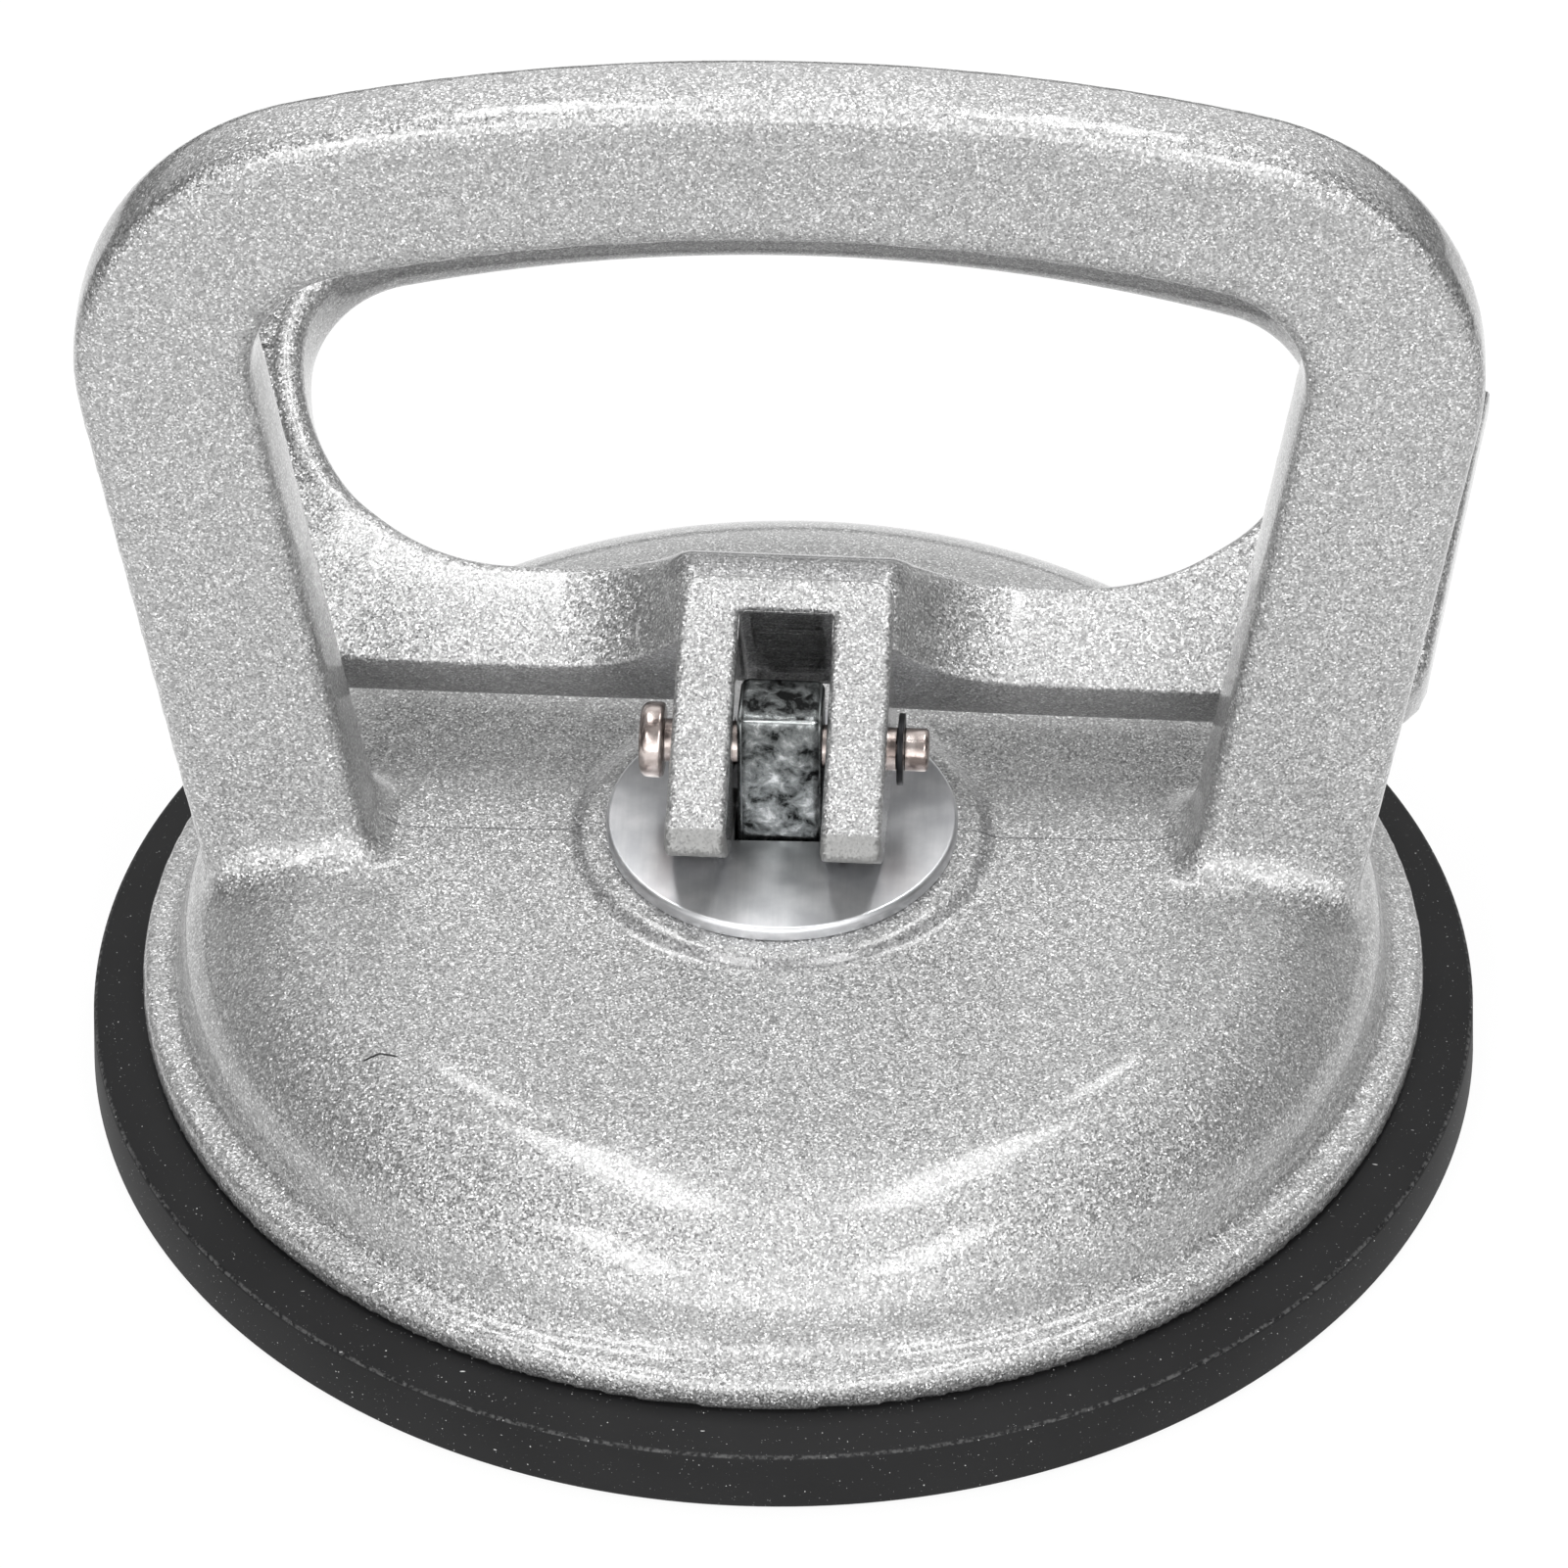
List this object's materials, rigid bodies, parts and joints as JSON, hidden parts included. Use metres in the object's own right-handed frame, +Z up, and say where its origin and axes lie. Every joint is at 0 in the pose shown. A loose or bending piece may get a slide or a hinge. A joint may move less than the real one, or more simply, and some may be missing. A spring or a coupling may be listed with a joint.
{
  "type": "floor tile suction lifter",
  "caption": "Hand suction lifter: rubber disc under a cast dome with a fixed handle and a cam lever that draws the disc's middle up",
  "frame": {"origin": "centre of the rubber disc's resting face, under the pivot pin", "axes": "+Z up through the tang, +X along the pivot pin towards its clip, -Y towards the open side of the lever's fork"},
  "size_m": [0.118, 0.1176, 0.0967],
  "materials": {
    "casting_paint": "metal-flake silver paint on die-cast aluminium",
    "rubber": "matt moulded rubber",
    "zinc_plate": "bright zinc-plated pressed steel",
    "tang_steel": "glossy zinc plate over cast steel",
    "pin_steel": "nickel-plated turned steel",
    "black_steel": "blackened spring steel"
  },
  "bodies": {
    "base": {"base_casting": "casting_paint", "rubber_disc": "rubber", "slotted_washer": "zinc_plate"},
    "plunger": {"plunger_tang": "tang_steel", "insert_plate": "zinc_plate", "pivot_pin": "pin_steel", "retaining_clip": "black_steel"},
    "lever": {"cam_lever": "casting_paint"}
  },
  "joints": [
    {"name": "plunger_lift", "type": "slide", "parent": "base", "child": "plunger", "axis": [0, 0, 1], "range_m": [0, 0.002]},
    {"name": "lever_swing", "type": "hinge", "parent": "plunger", "child": "lever", "pos_m": [0, 0, 0.03015], "axis": [0.9994, -0.0349, 0], "range_deg": [0, 40]}
  ],
  "couplings": [
    {"joint": "plunger_lift", "follows": "lever_swing", "m_per_rad": 0.002864}
  ]
}
